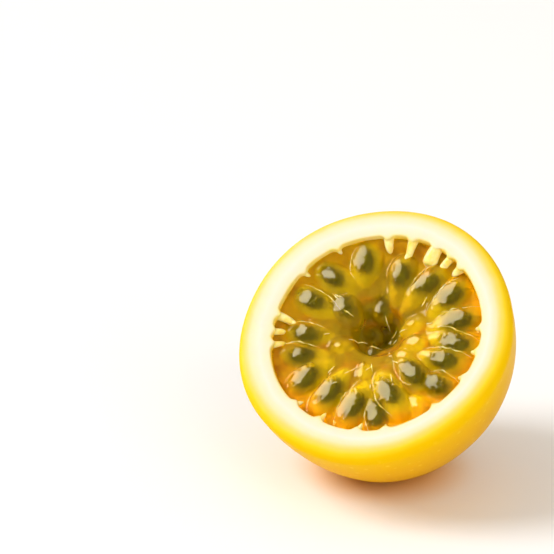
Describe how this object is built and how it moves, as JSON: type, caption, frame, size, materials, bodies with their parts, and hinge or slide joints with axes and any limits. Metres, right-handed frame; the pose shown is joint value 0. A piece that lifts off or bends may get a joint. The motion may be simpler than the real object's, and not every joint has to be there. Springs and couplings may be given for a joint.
{
  "type": "passion fruit half",
  "caption": "Half of a yellow passion fruit, lying tipped on its belly with the cut face and its seedy pulp showing.",
  "frame": {"origin": "middle of the small flat spot on the belly that the half rests on", "axes": "-Z is the flat spot's outward normal; the cut face leans 43 degrees from level and looks up and towards -Y; +X runs across the cut face"},
  "size_m": [0.0663, 0.0635, 0.062],
  "materials": {
    "rind": "waxy yellow skin over cream pith",
    "pulp": "wet, clear olive-yellow gel",
    "seed": "dark olive-brown seed under gel"
  },
  "bodies": {
    "root": {"rind_cup": "rind", "pulp": "pulp"}
  },
  "joints": []
}
